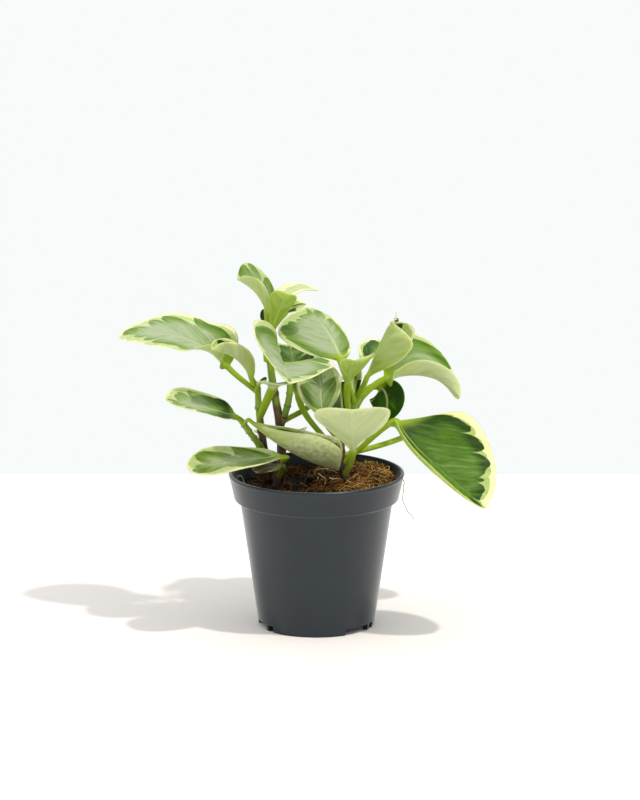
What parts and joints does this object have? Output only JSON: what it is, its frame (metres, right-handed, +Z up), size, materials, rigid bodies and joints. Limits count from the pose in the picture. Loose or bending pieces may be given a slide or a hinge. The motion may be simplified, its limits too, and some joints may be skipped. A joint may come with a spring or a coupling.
{
  "type": "potted peperomia",
  "caption": "Bushy variegated peperomia with upright fleshy stems and broad cream-edged leaves, growing in soil in a tapered round nursery pot with a stepped rim band.",
  "frame": {"origin": "centre of the pot's foot, on the surface that the pot stands on", "axes": "+Z up, -Y towards the viewer of the picture, +X to the viewer's right"},
  "size_m": [0.2253, 0.1285, 0.2204],
  "materials": {
    "pot": "satin moulded polypropylene",
    "soil": "coarse peat and coconut fibre",
    "stem": "smooth fleshy stem",
    "leaf": "waxy fleshy leaf"
  },
  "bodies": {
    "root": {"pot": "pot", "soil": "soil", "stem_left": "stem", "stem_middle": "stem", "stem_right": "stem", "stem_branch": "stem", "stem_side": "stem", "leaf_left_big": "leaf", "leaf_left_inner": "leaf", "leaf_centre_left": "leaf", "leaf_centre_low": "leaf", "leaf_top_left": "leaf", "leaf_top_right": "leaf", "leaf_top_front": "leaf", "leaf_top_back": "leaf", "leaf_heart": "leaf", "leaf_heart_side": "leaf", "leaf_right_up": "leaf", "leaf_right_arch": "leaf", "leaf_right_back": "leaf", "leaf_centre_back": "leaf", "leaf_centre_hang": "leaf", "leaf_front_fan": "leaf", "leaf_left_mid": "leaf", "leaf_left_low": "leaf", "leaf_soil_left": "leaf", "leaf_front_low": "leaf", "leaf_right_big": "leaf", "leaf_back_high": "leaf", "leaf_back_right": "leaf", "leaf_back_low": "leaf", "leaf_back_corner": "leaf", "leaf_bud_top": "leaf", "leaf_bud_left": "leaf", "leaf_bud_right": "leaf", "leaf_back_middle": "leaf"}
  },
  "joints": []
}
